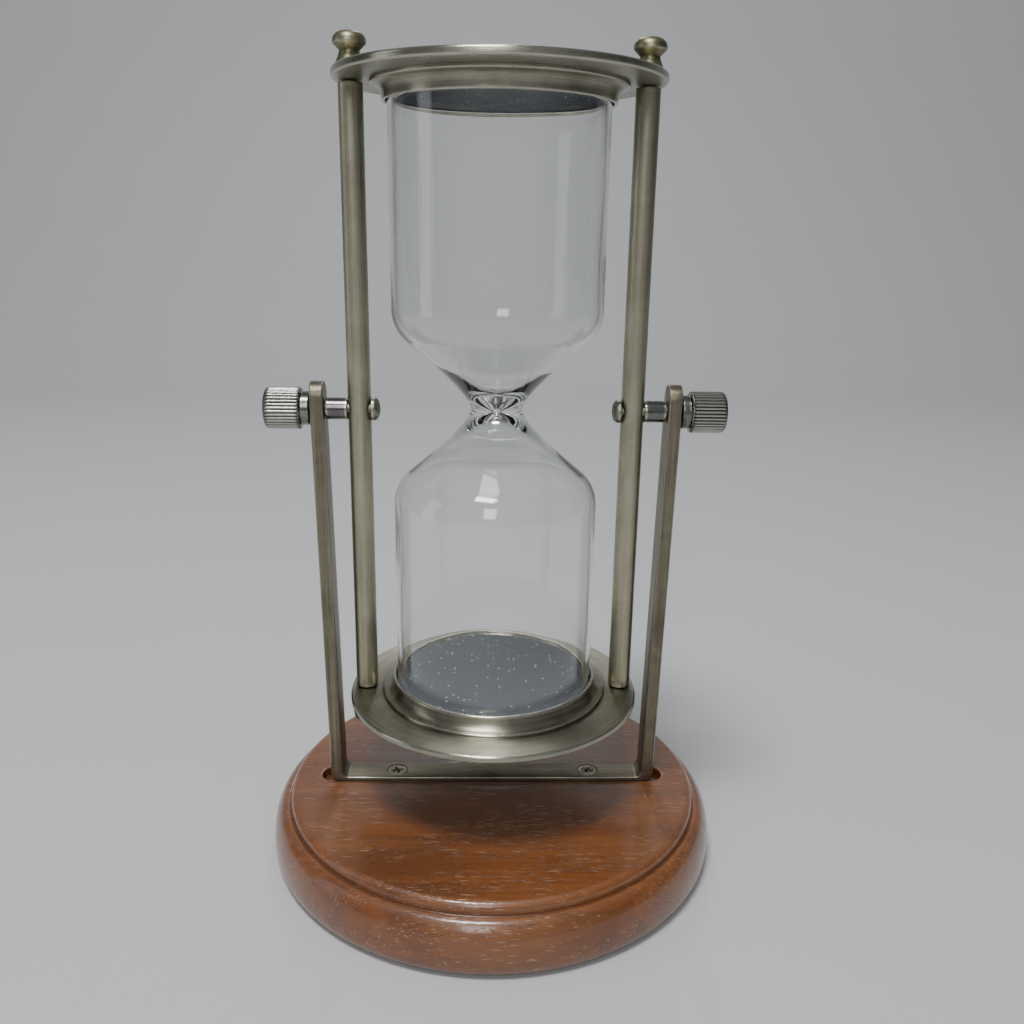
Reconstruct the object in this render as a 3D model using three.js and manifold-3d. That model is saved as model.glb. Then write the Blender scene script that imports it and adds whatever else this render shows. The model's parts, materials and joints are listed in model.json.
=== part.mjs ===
// An hourglass that turns over in a U-shaped bracket on a turned wooden base.
// Millimetres, +Z up, X along the swivel axis, origin at the centre of the underside.
import * as THREE from 'three';
import { mergeVertices } from 'three/addons/utils/BufferGeometryUtils.js';
import Module from 'manifold-3d';

const wasm = await Module();
wasm.setup();

// Air left between two pieces that touch, and around a pin in its hole.
const GAP = 0.3;

// Wooden base and its felt
const FELT_RADIUS = 69;
const FELT_THICKNESS = 0.9;
const BASE_RADIUS = 72.8;
const BASE_TOP = 20.5;
const BASE_TOP_RADIUS = 64.7;
const BEAD_RADIUS = 2.3;
const GROOVE_HEIGHT = 16.6;

// U-shaped bracket, bent from flat bar
const BAR_THICKNESS = 4;
const BAR_WIDTH = 9.5;
const BAR_PROUD = 1.4;
const BEND_RADIUS = 6;
const SPLAY = THREE.MathUtils.degToRad(0.95);
const BRACKET_HALF_WIDTH = 55.9;
const BRACKET_ABOVE_PIVOT = 8.3;
const CHANNEL_HALF_LENGTH = 57.5;

// Swivel axis
const PIVOT_HEIGHT = 145.6;
const PIN_RADIUS = 1.9;
const PIN_END = 66;

// Inner frame: two plates held apart by two posts
const PLATE_DISTANCE = 91.6;
const PLATE_RADIUS = 46.5;
const FLANGE_THICKNESS = 2.3;
const BOSS_RADIUS = 35.9;
const BOSS_HEIGHT = 5.4;
const RECESS_RADIUS = 31.9;
const RECESS_FLOOR = 1.9;
const POST_OFFSET = 41.5;
const POST_RADIUS = 3.5;
const TENON_RADIUS = 2;
const TENON_LENGTH = 4.4;
const FINIAL_HEIGHT = 10.2;
const FINIAL_BORE = 4.8;

// Glass
const GLASS_RADIUS = 31.4;
const GLASS_WALL = 1.5;
const GLASS_RIM = 0.5;
const GLASS_END = PLATE_DISTANCE - 4.3;
const SHOULDER_RADIUS = 12;
const SHOULDER_HEIGHT = 29.5;
const CONE_ANGLE = THREE.MathUtils.degToRad(49.7);
const WAIST_RISE = 0.4;
const WAIST_RADIUS = 7.85;
const BORE_RADIUS = 1.1;
const PAD_RADIUS = 31.6;
const GLASS_SIDES = 28;

// Screws and nuts
const WOOD_SCREW_OFFSET = 32.3;
const WOOD_SCREW_HEAD_RADIUS = 3.1;
const WOOD_SCREW_SHANK_RADIUS = 1.6;
const WOOD_SCREW_LENGTH = 14;
const PAN_HEAD_RADIUS = 3.6;
const PAN_HEAD_HEIGHT = 2.4;
const SLEEVE_RADIUS = 3.3;
const COLLAR_RADIUS = 5.1;
const COLLAR_LENGTH = 2.6;
const KNURL_RADIUS = 6.3;
const KNURL_LENGTH = 11.2;
const KNURL_RIDGES = 36;
const KNURL_DEPTH = 0.35;

const BAR_TOP = BASE_TOP + BAR_PROUD;
const BAR_BOTTOM = BAR_TOP - BAR_THICKNESS;
const WOOD_BOTTOM = FELT_THICKNESS + GAP;
const PIN_HOLE_RADIUS = PIN_RADIUS + GAP;

const material = (color, roughness, metalness, opacity = 1) =>
  new THREE.MeshStandardMaterial({
    color,
    roughness,
    metalness,
    opacity,
    transparent: opacity < 1,
  });

const antiqueBrass = () => material(0x7d7762, 0.35, 1);
const darkSteel = () => material(0x5b5853, 0.35, 1);
const mahogany = () => material(0x8a3a1c, 0.35, 0);
const clearGlass = () => material(0xe8eeee, 0.03, 0, 0.3);
const blackRubber = () => material(0x22242a, 0.6, 0);
const darkFelt = () => material(0x2b2a28, 0.95, 0);

// A closed three.js geometry as a solid that can be joined and cut.
function solidOf(geometry) {
  const plain = geometry.clone();
  plain.deleteAttribute('normal');
  plain.deleteAttribute('uv');
  const merged = mergeVertices(plain, 1e-4);
  const index = Array.from(merged.index.array);
  const kept = [];
  for (let i = 0; i < index.length; i += 3) {
    const [a, b, c] = index.slice(i, i + 3);
    if (a !== b && b !== c && c !== a) kept.push(a, b, c);
  }
  return new wasm.Manifold(
    new wasm.Mesh({
      numProp: 3,
      vertProperties: new Float32Array(merged.attributes.position.array),
      triVerts: new Uint32Array(kept),
    }),
  );
}

function geometryOf(solid) {
  const mesh = solid.getMesh();
  const geometry = new THREE.BufferGeometry();
  geometry.setAttribute('position', new THREE.BufferAttribute(mesh.vertProperties, 3));
  geometry.setIndex(new THREE.BufferAttribute(mesh.triVerts, 1));
  geometry.computeVertexNormals();
  return geometry;
}

// An outline of (radius, height), turned about Z. It starts and ends on the axis.
function turned(outline, sides, steps = 2) {
  const geometry = new THREE.LatheGeometry(outline.getPoints(steps), sides);
  return solidOf(geometry.rotateX(Math.PI / 2));
}

// A shape drawn in (y, z) and pushed along X between two places.
function alongX(shape, from, to) {
  const geometry = new THREE.ExtrudeGeometry(shape, {
    depth: to - from,
    bevelEnabled: false,
    curveSegments: 12,
  });
  geometry.rotateX(Math.PI / 2).rotateZ(Math.PI / 2);
  return solidOf(geometry.translate(from, 0, 0));
}

function cylinder(radius, from, to, sides = 16) {
  const geometry = new THREE.CylinderGeometry(radius, radius, to - from, sides);
  geometry.rotateX(Math.PI / 2);
  return solidOf(geometry.translate(0, 0, (from + to) / 2));
}

function cylinderAlongX(radius, from, to, sides = 16) {
  const geometry = new THREE.CylinderGeometry(radius, radius, to - from, sides);
  geometry.rotateZ(Math.PI / 2);
  return solidOf(geometry.translate((from + to) / 2, 0, 0));
}

// The cross-shaped recess of a screw head, sunk downwards from z = 0.
function crossRecess(width, depth) {
  const across = new THREE.BoxGeometry(width, width / 4, 2 * depth);
  const along = new THREE.BoxGeometry(width / 4, width, 2 * depth);
  return solidOf(across).add(solidOf(along));
}

function part(name, solid, look) {
  const mesh = new THREE.Mesh(geometryOf(solid), look);
  mesh.name = name;
  return mesh;
}

function woodenBase() {
  const outline = new THREE.Path();
  outline.moveTo(0, WOOD_BOTTOM);
  outline.lineTo(BASE_RADIUS - 2.2, WOOD_BOTTOM);
  outline.quadraticCurveTo(BASE_RADIUS, WOOD_BOTTOM, BASE_RADIUS, 6);
  outline.bezierCurveTo(BASE_RADIUS, 11.5, 71, 16.8, 67.6, GROOVE_HEIGHT + 0.3);
  outline.lineTo(BASE_TOP_RADIUS + BEAD_RADIUS, GROOVE_HEIGHT);
  outline.lineTo(BASE_TOP_RADIUS + BEAD_RADIUS, BASE_TOP - BEAD_RADIUS);
  outline.absarc(BASE_TOP_RADIUS, BASE_TOP - BEAD_RADIUS, BEAD_RADIUS, 0, Math.PI / 2, false);
  outline.lineTo(0, BASE_TOP);
  let wood = turned(outline, 56, 3).subtract(barChannel());
  for (const side of [-1, 1]) {
    const pilot = cylinder(WOOD_SCREW_SHANK_RADIUS + GAP, BAR_TOP - WOOD_SCREW_LENGTH - 1, BASE_TOP);
    wood = wood.subtract(pilot.translate([side * WOOD_SCREW_OFFSET, 0, 0]));
  }
  return wood;
}

// The routed channel in the top of the base, with round ends.
function barChannel() {
  const radius = BAR_WIDTH / 2 + GAP;
  const middle = CHANNEL_HALF_LENGTH - radius;
  const slot = new THREE.Shape();
  slot.absarc(middle, 0, radius, -Math.PI / 2, Math.PI / 2, false);
  slot.absarc(-middle, 0, radius, Math.PI / 2, 1.5 * Math.PI, false);
  const geometry = new THREE.ExtrudeGeometry(slot, {
    depth: BAR_THICKNESS,
    bevelEnabled: false,
    curveSegments: 12,
  });
  return solidOf(geometry.translate(0, 0, BAR_BOTTOM - GAP));
}

function uBracket() {
  const centre = { x: bendCentreX(), z: BAR_BOTTOM + BEND_RADIUS };
  const inner = BEND_RADIUS - BAR_THICKNESS;
  const top = PIVOT_HEIGHT + BRACKET_ABOVE_PIVOT + 1;
  const faceX = (radius) =>
    centre.x + radius / Math.cos(SPLAY) + (top - centre.z) * Math.tan(SPLAY);
  const outline = new THREE.Shape();
  outline.moveTo(faceX(inner), top);
  outline.lineTo(faceX(BEND_RADIUS), top);
  outline.absarc(centre.x, centre.z, BEND_RADIUS, -SPLAY, -Math.PI / 2, true);
  outline.absarc(-centre.x, centre.z, BEND_RADIUS, -Math.PI / 2, SPLAY - Math.PI, true);
  outline.lineTo(-faceX(BEND_RADIUS), top);
  outline.lineTo(-faceX(inner), top);
  outline.absarc(-centre.x, centre.z, inner, SPLAY - Math.PI, -Math.PI / 2, false);
  outline.absarc(centre.x, centre.z, inner, -Math.PI / 2, -SPLAY, false);
  const bent = new THREE.ExtrudeGeometry(outline, {
    depth: BAR_WIDTH,
    bevelEnabled: false,
    curveSegments: 6,
  });
  bent.rotateX(Math.PI / 2).translate(0, BAR_WIDTH / 2, 0);
  let bar = solidOf(bent).intersect(roundedEnds());
  bar = bar.subtract(cylinderAlongX(PIN_HOLE_RADIUS, -80, 80).translate([0, 0, PIVOT_HEIGHT]));
  for (const side of [-1, 1]) {
    const hole = countersink(GAP).translate([side * WOOD_SCREW_OFFSET, 0, BAR_TOP]);
    bar = bar.subtract(hole);
  }
  return bar;
}

// The bend's centre, from where the outer faces stand at the height of the swivel axis.
function bendCentreX() {
  const rise = PIVOT_HEIGHT - BAR_BOTTOM - BEND_RADIUS;
  return BRACKET_HALF_WIDTH - BEND_RADIUS / Math.cos(SPLAY) - rise * Math.tan(SPLAY);
}

// The space that leaves round tops on the two uprights.
function roundedEnds() {
  const radius = BAR_WIDTH / 2;
  const top = PIVOT_HEIGHT + BRACKET_ABOVE_PIVOT;
  const outline = new THREE.Shape();
  outline.moveTo(-radius, 0);
  outline.lineTo(radius, 0);
  outline.absarc(0, top - radius, radius, 0, Math.PI, false);
  return alongX(outline, -80, 80);
}

// A countersunk hole, or a screw's own shape when the room is 0, below z = 0.
function countersink(room) {
  const head = WOOD_SCREW_HEAD_RADIUS + room;
  const shank = WOOD_SCREW_SHANK_RADIUS + room;
  const cone = WOOD_SCREW_HEAD_RADIUS - WOOD_SCREW_SHANK_RADIUS;
  const top = room > 0 ? 1 : -0.1;
  const outline = new THREE.Path();
  outline.moveTo(0, -WOOD_SCREW_LENGTH);
  outline.lineTo(shank, -WOOD_SCREW_LENGTH + shank);
  outline.lineTo(shank, -cone - 0.3);
  outline.lineTo(head, -0.3);
  outline.lineTo(head, top);
  outline.lineTo(0, top);
  return turned(outline, 16);
}

function woodScrew() {
  return countersink(0).subtract(crossRecess(3.2, 1));
}

function panHeadScrew() {
  const dome = new THREE.Path();
  dome.moveTo(0, -PAN_HEAD_HEIGHT);
  dome.bezierCurveTo(2, -PAN_HEAD_HEIGHT, PAN_HEAD_RADIUS, -1.7, PAN_HEAD_RADIUS, -0.5);
  dome.lineTo(PAN_HEAD_RADIUS, 0);
  dome.lineTo(PIN_RADIUS, 0);
  dome.lineTo(PIN_RADIUS, PIN_END - headSeat());
  dome.lineTo(0, PIN_END - headSeat());
  const recess = crossRecess(3.6, 1.1).translate([0, 0, -PAN_HEAD_HEIGHT]);
  return turned(dome, 16, 3).subtract(recess);
}

// Where the underside of the pan head stands, beside the inner side of the post.
function headSeat() {
  return POST_OFFSET - POST_RADIUS - GAP;
}

function spacerSleeve() {
  const from = POST_OFFSET + POST_RADIUS + GAP;
  const to = BRACKET_HALF_WIDTH - BAR_THICKNESS - GAP - 0.15;
  return tubeAlongX(SLEEVE_RADIUS, from, to);
}

function tubeAlongX(radius, from, to) {
  const tube = cylinderAlongX(radius, from, to, 20);
  return tube.subtract(cylinderAlongX(PIN_HOLE_RADIUS, from - 1, to + 1));
}

function knurledNut() {
  const collarStart = BRACKET_HALF_WIDTH + GAP + 0.1;
  const knurlStart = collarStart + COLLAR_LENGTH;
  const teeth = new THREE.Shape();
  for (let i = 0; i < 2 * KNURL_RIDGES; i += 1) {
    const angle = (i * Math.PI) / KNURL_RIDGES;
    const radius = KNURL_RADIUS - (i % 2) * KNURL_DEPTH;
    const move = i === 0 ? 'moveTo' : 'lineTo';
    teeth[move](radius * Math.cos(angle), radius * Math.sin(angle));
  }
  const end = knurlStart + KNURL_LENGTH;
  const knurl = alongX(teeth, knurlStart, end).intersect(nutBlank(knurlStart, end));
  const collar = cylinderAlongX(COLLAR_RADIUS, collarStart, knurlStart + 1, 20);
  return knurl.add(collar).subtract(cylinderAlongX(PIN_HOLE_RADIUS, collarStart - 1, PIN_END + 1));
}

// The nut's body before knurling: a disc with a small bevel inside and a domed end outside.
function nutBlank(from, to) {
  const outline = new THREE.Path();
  outline.moveTo(0, from);
  outline.lineTo(KNURL_RADIUS - 0.5, from);
  outline.lineTo(KNURL_RADIUS + 0.1, from + 0.6);
  outline.lineTo(KNURL_RADIUS + 0.1, to - 1.6);
  outline.quadraticCurveTo(KNURL_RADIUS, to - 0.5, KNURL_RADIUS - 1.5, to - 0.4);
  outline.quadraticCurveTo(2, to, 0, to);
  return turned(outline, 20).rotate([0, 90, 0]);
}

// A post with a tenon at each end, standing on z = 0 as its middle.
function supportPost() {
  const half = PLATE_DISTANCE - GAP;
  const tenonEnd = PLATE_DISTANCE + FLANGE_THICKNESS + TENON_LENGTH;
  const post = cylinder(POST_RADIUS, -half, half, 20).add(cylinder(TENON_RADIUS, -tenonEnd, tenonEnd));
  return post.subtract(cylinderAlongX(PIN_HOLE_RADIUS, -10, 10));
}

// The lower end plate: z = 0 is the flange's inner face and the boss rises from it.
function endPlate() {
  const outline = new THREE.Path();
  outline.moveTo(0, -FLANGE_THICKNESS);
  outline.lineTo(PLATE_RADIUS - 0.8, -FLANGE_THICKNESS);
  outline.quadraticCurveTo(PLATE_RADIUS, -FLANGE_THICKNESS, PLATE_RADIUS, -FLANGE_THICKNESS + 0.8);
  outline.lineTo(PLATE_RADIUS, -0.8);
  outline.quadraticCurveTo(PLATE_RADIUS, 0, PLATE_RADIUS - 0.8, 0);
  outline.lineTo(BOSS_RADIUS, 0);
  outline.quadraticCurveTo(BOSS_RADIUS, 1.2, BOSS_RADIUS - 1.2, 1.2);
  outline.bezierCurveTo(33.6, 1.8, 33, 2.8, 33, BOSS_HEIGHT - 1);
  outline.quadraticCurveTo(33, BOSS_HEIGHT, 32.4, BOSS_HEIGHT);
  outline.lineTo(RECESS_RADIUS, BOSS_HEIGHT - 0.4);
  outline.lineTo(RECESS_RADIUS, RECESS_FLOOR);
  outline.lineTo(0, RECESS_FLOOR);
  let plate = turned(outline, 40);
  for (const side of [-1, 1]) {
    const hole = cylinder(TENON_RADIUS + GAP, -FLANGE_THICKNESS - 1, 1);
    plate = plate.subtract(hole.translate([side * POST_OFFSET, 0, 0]));
  }
  return plate;
}

// A turned finial on z = 0: a tapered foot, a neck and a flattened bulb.
function finial() {
  const outline = new THREE.Path();
  outline.moveTo(0, 0);
  outline.lineTo(4.05, 0);
  outline.lineTo(4.05, 0.6);
  outline.bezierCurveTo(3.6, 2, 3.35, 3.6, 3.35, 5);
  outline.quadraticCurveTo(4.5, 6, 4.65, 7.5);
  outline.bezierCurveTo(4.65, 9.2, 3.4, FINIAL_HEIGHT, 2.2, FINIAL_HEIGHT);
  outline.lineTo(0, FINIAL_HEIGHT);
  return turned(outline, 16).subtract(cylinder(TENON_RADIUS + GAP, -1, FINIAL_BORE, 12));
}

// The lower half of a glass surface, from its end to the waist, as (radius, height).
// The edge of the end is slightly rounded.
function bulbLine(wall, end, waist, coneStart, coneControl, throat) {
  const radius = GLASS_RADIUS - wall;
  const shoulder = SHOULDER_RADIUS - wall;
  const line = new THREE.Path();
  line.moveTo(0, -end);
  line.lineTo(radius - GLASS_RIM, -end);
  line.lineTo(radius, GLASS_RIM - end);
  line.absarc(radius - shoulder, WAIST_RISE - SHOULDER_HEIGHT, shoulder, 0, CONE_ANGLE, false);
  line.lineTo(coneStart.x, WAIST_RISE - coneStart.y);
  line.bezierCurveTo(
    coneControl.x, WAIST_RISE - coneControl.y,
    waist, WAIST_RISE - throat,
    waist, WAIST_RISE,
  );
  return line.getPoints(2);
}

// The same line turned upside down about the waist, read from the waist to the end.
function upperLine(points, end) {
  const stretch = (end - WAIST_RISE - SHOULDER_HEIGHT) / (end + WAIST_RISE - SHOULDER_HEIGHT);
  return points
    .slice(0, -1)
    .map(({ x, y }) => {
      const below = WAIST_RISE - y;
      const past = Math.max(0, below - SHOULDER_HEIGHT);
      return new THREE.Vector2(x, WAIST_RISE + below - past + past * stretch);
    })
    .reverse();
}

function glassBody(points, end) {
  const outline = [...points, ...upperLine(points, end)];
  const geometry = new THREE.LatheGeometry(outline, GLASS_SIDES);
  return solidOf(geometry.rotateX(Math.PI / 2));
}

// One blown body with two bulbs, open at both ends, and a narrow bore through its waist.
function glassBulb() {
  const outerCone = new THREE.Vector2(19.4, 13.8);
  const outerControl = new THREE.Vector2(12.9, 7.8);
  const outer = bulbLine(0, GLASS_END, WAIST_RADIUS, outerCone, outerControl, 2.8);
  const innerEnd = GLASS_END + 1;
  const innerCone = new THREE.Vector2(17.2, 13.2);
  const innerControl = new THREE.Vector2(4, 2);
  const inner = bulbLine(GLASS_WALL, innerEnd, BORE_RADIUS, innerCone, innerControl, 1.6);
  return glassBody(outer, GLASS_END).subtract(glassBody(inner, innerEnd));
}

const endPad = () => cylinder(PAD_RADIUS, RECESS_FLOOR + GAP, PLATE_DISTANCE - GLASS_END - GAP, 40);

const feltPad = () => cylinder(FELT_RADIUS, 0, FELT_THICKNESS, 56);

const hourglass = new THREE.Group();
hourglass.add(part('base_felt_pad', feltPad(), darkFelt()));
hourglass.add(part('wooden_base', woodenBase(), mahogany()));
hourglass.add(part('u_bracket', uBracket(), antiqueBrass()));

const swivelFrame = new THREE.Group();
swivelFrame.position.z = PIVOT_HEIGHT;
hourglass.add(swivelFrame);
swivelFrame.add(part('glass_bulb', glassBulb(), clearGlass()));

for (const [end, turn] of [['bottom', 0], ['top', Math.PI]]) {
  const side = end === 'top' ? 1 : -1;
  const plate = part(`end_plate_${end}`, endPlate(), antiqueBrass());
  const pad = part(`end_pad_${end}`, endPad(), blackRubber());
  for (const mesh of [plate, pad]) {
    mesh.position.z = side * PLATE_DISTANCE;
    mesh.rotation.x = turn;
    swivelFrame.add(mesh);
  }
  for (const [hand, x] of [['left', -POST_OFFSET], ['right', POST_OFFSET]]) {
    const knob = part(`finial_${end}_${hand}`, finial(), antiqueBrass());
    knob.position.set(x, 0, side * (PLATE_DISTANCE + FLANGE_THICKNESS + GAP));
    knob.rotation.x = Math.PI - turn;
    swivelFrame.add(knob);
  }
}

// Everything on the swivel axis is drawn for the right side and turned round for the left.
for (const [hand, side] of [['left', -1], ['right', 1]]) {
  const post = part(`support_post_${hand}`, supportPost(), antiqueBrass());
  post.position.x = side * POST_OFFSET;
  swivelFrame.add(post);

  const axisParts = new THREE.Group();
  axisParts.rotation.z = side < 0 ? Math.PI : 0;
  const screw = part(`pivot_screw_${hand}`, panHeadScrew(), antiqueBrass());
  screw.rotation.y = Math.PI / 2;
  screw.position.x = headSeat();
  axisParts.add(screw);
  axisParts.add(part(`spacer_sleeve_${hand}`, spacerSleeve(), darkSteel()));
  axisParts.add(part(`knurled_nut_${hand}`, knurledNut(), darkSteel()));
  swivelFrame.add(axisParts);

  const barScrew = part(`bracket_screw_${hand}`, woodScrew(), darkSteel());
  barScrew.position.set(side * WOOD_SCREW_OFFSET, 0, BAR_TOP);
  hourglass.add(barScrew);
}

export default hourglass;
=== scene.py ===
"""The looks of an hourglass that turns over in a brass bracket on a turned wooden base.

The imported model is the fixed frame: every piece here is built where its node stands, in metres,
and takes that node's place. X runs along the swivel axis, -Y faces the viewer and Z is up.
"""

import json
import math

import bmesh
import bpy
import numpy as np
from mathutils import Matrix, Vector


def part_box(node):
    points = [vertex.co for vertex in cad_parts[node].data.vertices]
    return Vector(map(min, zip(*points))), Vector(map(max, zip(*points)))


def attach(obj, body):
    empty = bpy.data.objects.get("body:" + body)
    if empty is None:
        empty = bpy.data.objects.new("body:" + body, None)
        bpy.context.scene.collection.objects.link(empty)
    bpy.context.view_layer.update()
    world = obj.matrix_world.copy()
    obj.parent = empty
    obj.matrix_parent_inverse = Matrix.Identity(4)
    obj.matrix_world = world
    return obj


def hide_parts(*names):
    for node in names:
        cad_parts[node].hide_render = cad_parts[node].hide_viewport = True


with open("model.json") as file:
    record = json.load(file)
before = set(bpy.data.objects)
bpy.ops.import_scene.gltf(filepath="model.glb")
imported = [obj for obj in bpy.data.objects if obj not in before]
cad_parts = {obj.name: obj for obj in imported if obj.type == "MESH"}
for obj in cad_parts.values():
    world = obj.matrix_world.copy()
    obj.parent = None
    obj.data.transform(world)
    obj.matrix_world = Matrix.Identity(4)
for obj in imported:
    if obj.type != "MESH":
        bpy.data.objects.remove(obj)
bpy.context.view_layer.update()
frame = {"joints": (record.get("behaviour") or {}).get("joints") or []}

MM = 0.001
TURN = 2 * math.pi
AXIS_HEIGHT = next(j["pos_m"][2] for j in frame["joints"] if j["name"] == "frame_swivel") / MM


# ---------------------------------------------------------------- outlines and surfaces


def extent(node):
    """Lowest and highest corner of a node of the frame, in millimetres."""
    low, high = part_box(node)
    return np.array(low) / MM, np.array(high) / MM


def fillet(corners, step=0.12):
    """Outline through (radius, height, round) corners: each corner with a round above 0 is
    replaced by an arc of that radius tangent to both of its edges."""
    points = []
    count = len(corners)
    for i, (x, y, size) in enumerate(corners):
        here = np.array([x, y], float)
        if size <= 0 or i in (0, count - 1):
            points.append(here[None])
            continue
        before = np.array(corners[i - 1][:2], float) - here
        after = np.array(corners[i + 1][:2], float) - here
        before /= np.linalg.norm(before)
        after /= np.linalg.norm(after)
        half = math.acos(np.clip(before @ after, -1, 1)) / 2
        reach = size / math.tan(half)
        middle = (before + after) / np.linalg.norm(before + after)
        centre = here + middle * size / math.sin(half)
        start, end = here + before * reach - centre, here + after * reach - centre
        first = math.atan2(start[1], start[0])
        sweep = (math.atan2(end[1], end[0]) - first + math.pi) % TURN - math.pi
        steps = max(4, int(abs(sweep) * size / step))
        angles = first + sweep * np.linspace(0, 1, steps + 1)
        points.append(centre + size * np.stack([np.cos(angles), np.sin(angles)], 1))
    return np.concatenate(points)


def bezier(start, pull_a, pull_b, end, steps=24):
    """Cubic Bezier curve between two outline points, without its first point."""
    t = np.linspace(0, 1, steps + 1)[1:, None]
    a, b, c, d = (np.array(p, float) for p in (start, pull_a, pull_b, end))
    return a * (1 - t) ** 3 + 3 * b * t * (1 - t) ** 2 + 3 * c * t**2 * (1 - t) + d * t**3


def refine(outline, longest=2.0):
    """The same outline with long straight edges split, so that shading stays even on them."""
    pieces = [outline[:1]]
    for a, b in zip(outline[:-1], outline[1:]):
        count = max(1, math.ceil(np.linalg.norm(b - a) / longest))
        pieces.append(a + (b - a) * np.linspace(0, 1, count + 1)[1:, None])
    return np.concatenate(pieces)


def edge_wear_and_light(outline, reach=0.5):
    """How far an outline bends at each point over a short reach: 1 on outer edges that hands
    polish, -1 in inner corners, 0 on flats. The brass darkens those corners as patina; the wood
    paints shade into them."""
    step = np.diff(outline, axis=0)
    length = np.maximum(np.linalg.norm(step, axis=1), 1e-9)
    heading = np.unwrap(np.arctan2(step[:, 1], step[:, 0]))
    bend = np.concatenate([[0], np.diff(heading), [0]])
    place = np.concatenate([[0], np.cumsum(length)])
    near = np.exp(-(((place[:, None] - place[None]) / reach) ** 2))
    return np.clip(near @ bend / 1.2, -1, 1)


def mesh_from_grid(name, grid, wear_and_painted_light=None, ring=True, loop=False, weld=1e-6):
    """A mesh over a grid of points in millimetres, rows by columns. Columns join round to the
    first where ring is true, rows where loop is true. Equal points are welded, which closes
    the poles. Faces point outwards when rows run up the outside and columns run anticlockwise."""
    rows, columns = grid.shape[:2]
    number = np.arange(rows * columns).reshape(rows, columns)
    if ring:
        number = np.concatenate([number, number[:, :1]], 1)
    if loop:
        number = np.concatenate([number, number[:1]], 0)
    corners = np.stack([number[:-1, :-1], number[:-1, 1:], number[1:, 1:], number[1:, :-1]], -1)
    mesh = bpy.data.meshes.new(name)
    mesh.from_pydata((grid.reshape(-1, 3) * MM).tolist(), [], corners.reshape(-1, 4).tolist())
    wear_and_light_values = np.zeros(rows * columns) if wear_and_painted_light is None else np.broadcast_to(wear_and_painted_light, (rows, columns))
    layer = mesh.attributes.new("wear_and_painted_light", "FLOAT", "POINT")
    layer.data.foreach_set("value", np.ascontiguousarray(wear_and_light_values, dtype=np.float32).ravel())
    work = bmesh.new()
    work.from_mesh(mesh)
    bmesh.ops.remove_doubles(work, verts=work.verts, dist=weld)
    bmesh.ops.dissolve_degenerate(work, edges=work.edges, dist=weld / 10)
    work.to_mesh(mesh)
    work.free()
    return mesh


def settle(name, meshes, material, sharp=40.0):
    """One object out of one or more meshes, smooth but for its sharp edges."""
    work = bmesh.new()
    for mesh in meshes:
        work.from_mesh(mesh)
    body = bpy.data.meshes.new(name)
    work.to_mesh(body)
    work.free()
    body.shade_smooth()
    body.set_sharp_from_angle(angle=math.radians(sharp))
    body.materials.append(material)
    piece = bpy.data.objects.new(name, body)
    bpy.context.scene.collection.objects.link(piece)
    return piece


def turned(name, outline, centre=(0, 0, 0), axis="Z", sides=160, loop=False, shift=None):
    """Solid of revolution: the outline's radius is carried round the axis and its height runs
    along it. shift(angle, radius, height) may return a change of radius and of height."""
    angle = np.arange(sides) * TURN / sides
    radius = np.repeat(outline[:, :1], sides, 1)
    height = np.repeat(outline[:, 1:], sides, 1)
    if shift is not None:
        more_radius, more_height = shift(angle[None], radius, height)
        radius, height = radius + more_radius, height + more_height
    across, over = radius * np.cos(angle), radius * np.sin(angle)
    grid = {
        "Z": np.stack([across, over, height], -1),
        "X": np.stack([height, across, over], -1),
        "-X": np.stack([-height, -across, over], -1),
        "-Z": np.stack([across, -over, -height], -1),
    }[axis]
    return mesh_from_grid(name, grid + np.array(centre), edge_wear_and_light(outline)[:, None], loop=loop)


def cut(mesh_object, cutters):
    """Takes the cutters out of a piece, then removes them."""
    for cutter in cutters:
        change = mesh_object.modifiers.new("cut", "BOOLEAN")
        change.operation = "DIFFERENCE"
        change.solver = "EXACT"
        change.object = cutter
    bpy.context.view_layer.update()
    ready = mesh_object.evaluated_get(bpy.context.evaluated_depsgraph_get())
    body = bpy.data.meshes.new_from_object(ready)
    mesh_object.modifiers.clear()
    mesh_object.data = body
    for cutter in cutters:
        bpy.data.objects.remove(cutter)
    body.shade_smooth()
    body.set_sharp_from_angle(angle=math.radians(35))


def stand_for(piece, node, body):
    """The piece takes the node's place and moves with its body."""
    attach(piece, body)
    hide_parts(node)
    return piece


# ---------------------------------------------------------------- materials


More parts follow.
